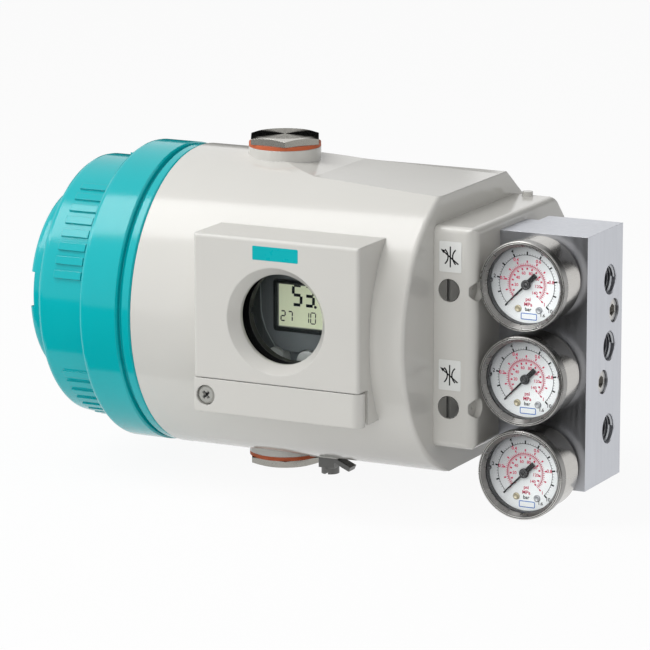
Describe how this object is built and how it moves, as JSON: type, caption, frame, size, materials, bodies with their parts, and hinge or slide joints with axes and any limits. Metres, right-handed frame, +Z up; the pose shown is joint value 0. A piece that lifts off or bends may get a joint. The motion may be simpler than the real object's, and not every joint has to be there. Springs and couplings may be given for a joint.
{
  "type": "valve positioner",
  "caption": "Electropneumatic valve positioner: round flameproof housing with screw cap, display window, key flap, cable plugs and a side manifold carrying pressure gauges.",
  "frame": {"origin": "where the feedback shaft's axis leaves the rear mounting face, centre of the mounting threads", "axes": "+X along the housing from the cap to the gauges, +Y out of the mounting face, +Z up"},
  "size_m": [0.2626, 0.1597, 0.1558],
  "materials": {
    "housing_paint": "satin powder coat",
    "cap_paint": "satin powder coat",
    "rubber": "matte",
    "red_gasket": "matte",
    "glass": "clear",
    "zinc_steel": "satin",
    "nickel_brass": "nickel plated, turned",
    "clamp_steel": "dull zinc",
    "bronze": "turned",
    "ivory_plastic": "matte",
    "yellow_plastic": "matte",
    "blue_plastic": "matte",
    "board": "solder mask",
    "charcoal_plastic": "fine texture",
    "key_grey": "matte",
    "display": "reflective display",
    "green_plastic": "matte",
    "anodised": "anodised, machined",
    "stainless": "polished",
    "dial_white": "matte",
    "pointer_black": "matte"
  },
  "bodies": {
    "housing": {"main_housing": "housing_paint", "window_glass": "glass", "window_seal": "rubber", "window_ring": "zinc_steel", "key_cover_pin": "zinc_steel", "key_spring_1": "zinc_steel", "key_spring_2": "zinc_steel", "key_spring_3": "zinc_steel", "plug_top": "nickel_brass", "plug_bottom": "nickel_brass", "plug_seals": "red_gasket", "earth_clamp": "clamp_steel", "earth_screw": "zinc_steel", "shaft_bushes": "bronze", "shaft_seal": "rubber", "gear_plate": "zinc_steel", "potentiometer": "blue_plastic", "circuit_board": "board", "module_cover": "charcoal_plastic", "display_panel": "display", "terminal_strip": "green_plastic", "pneumatic_block": "housing_paint", "valve_unit": "charcoal_plastic", "gauge_block": "anodised", "gauge_block_screws": "zinc_steel", "gauge_block_seals": "rubber", "gauge_case_1": "stainless", "gauge_case_2": "stainless", "gauge_case_3": "stainless", "gauge_bezel_1": "stainless", "gauge_bezel_2": "stainless", "gauge_bezel_3": "stainless", "gauge_dial_1": "dial_white", "gauge_dial_2": "dial_white", "gauge_dial_3": "dial_white", "gauge_windows": "glass", "gauge_sockets": "bronze", "bourdon_tubes": "bronze"},
    "cap_thread": {"cap_seal": "rubber"},
    "cap": {"screw_cap": "cap_paint"},
    "key_flap": {"key_cover": "housing_paint", "key_cover_screw": "zinc_steel"},
    "feedback": {"feedback_shaft": "zinc_steel", "shaft_circlip": "zinc_steel", "drive_gear": "ivory_plastic", "clutch_wheel": "yellow_plastic"},
    "sensor": {"pot_pinion": "ivory_plastic"},
    "key_1": {"key_plunger_1": "zinc_steel", "key_pad_1": "key_grey"},
    "key_2": {"key_plunger_2": "zinc_steel", "key_pad_2": "key_grey"},
    "key_3": {"key_plunger_3": "zinc_steel", "key_pad_3": "key_grey"},
    "restrictor_1": {"restrictor_screw_1": "nickel_brass"},
    "restrictor_2": {"restrictor_screw_2": "nickel_brass"},
    "pointer_1": {"gauge_pointer_1": "pointer_black"},
    "pointer_2": {"gauge_pointer_2": "pointer_black"},
    "pointer_3": {"gauge_pointer_3": "pointer_black"}
  },
  "joints": [
    {"name": "cap_lift", "type": "slide", "parent": "housing", "child": "cap_thread", "axis": [-1, 0, 0], "range_m": [0, 0.0212]},
    {"name": "cap_turn", "type": "hinge", "parent": "cap_thread", "child": "cap", "pos_m": [-0.066, -0.066, 0], "axis": [-1, 0, 0], "range_deg": [0, 2160]},
    {"name": "key_flap_swing", "type": "hinge", "parent": "housing", "child": "key_flap", "pos_m": [0.0485, -0.1404, -0.0276], "axis": [0, 0, 1], "range_deg": [0, 110]},
    {"name": "feedback_turn", "type": "hinge", "parent": "housing", "child": "feedback", "pos_m": [0, 0, 0], "axis": [0, 1, 0], "range_deg": [-50, 50]},
    {"name": "sensor_turn", "type": "hinge", "parent": "housing", "child": "sensor", "pos_m": [0.032, 0, 0], "axis": [0, 1, 0], "range_deg": [-151, 151]},
    {"name": "key_1_press", "type": "slide", "parent": "housing", "child": "key_1", "axis": [0, 1, 0], "range_m": [0, 0.002], "stiffness_N_per_m": 500, "springref_m": -0.002, "deforming": ["key_spring_1"]},
    {"name": "key_2_press", "type": "slide", "parent": "housing", "child": "key_2", "axis": [0, 1, 0], "range_m": [0, 0.002], "stiffness_N_per_m": 500, "springref_m": -0.002, "deforming": ["key_spring_2"]},
    {"name": "key_3_press", "type": "slide", "parent": "housing", "child": "key_3", "axis": [0, 1, 0], "range_m": [0, 0.002], "stiffness_N_per_m": 500, "springref_m": -0.002, "deforming": ["key_spring_3"]},
    {"name": "restrictor_1_turn", "type": "hinge", "parent": "housing", "child": "restrictor_1", "pos_m": [0.0759, -0.1037, 0.0209], "axis": [0, 1, 0], "range_deg": [-360, 360]},
    {"name": "restrictor_2_turn", "type": "hinge", "parent": "housing", "child": "restrictor_2", "pos_m": [0.0759, -0.1037, -0.0315], "axis": [0, 1, 0], "range_deg": [-360, 360]},
    {"name": "pointer_1_turn", "type": "hinge", "parent": "housing", "child": "pointer_1", "pos_m": [0.1096, -0.096, 0.0253], "axis": [0, 1, 0], "range_deg": [0, 270]},
    {"name": "pointer_2_turn", "type": "hinge", "parent": "housing", "child": "pointer_2", "pos_m": [0.1096, -0.096, -0.0168], "axis": [0, 1, 0], "range_deg": [0, 270]},
    {"name": "pointer_3_turn", "type": "hinge", "parent": "housing", "child": "pointer_3", "pos_m": [0.1096, -0.096, -0.0589], "axis": [0, 1, 0], "range_deg": [0, 270]}
  ],
  "couplings": [
    {"joint": "cap_lift", "follows": "cap_turn", "m_per_rad": 0.00055704},
    {"joint": "sensor_turn", "follows": "feedback_turn", "ratio": -3}
  ]
}
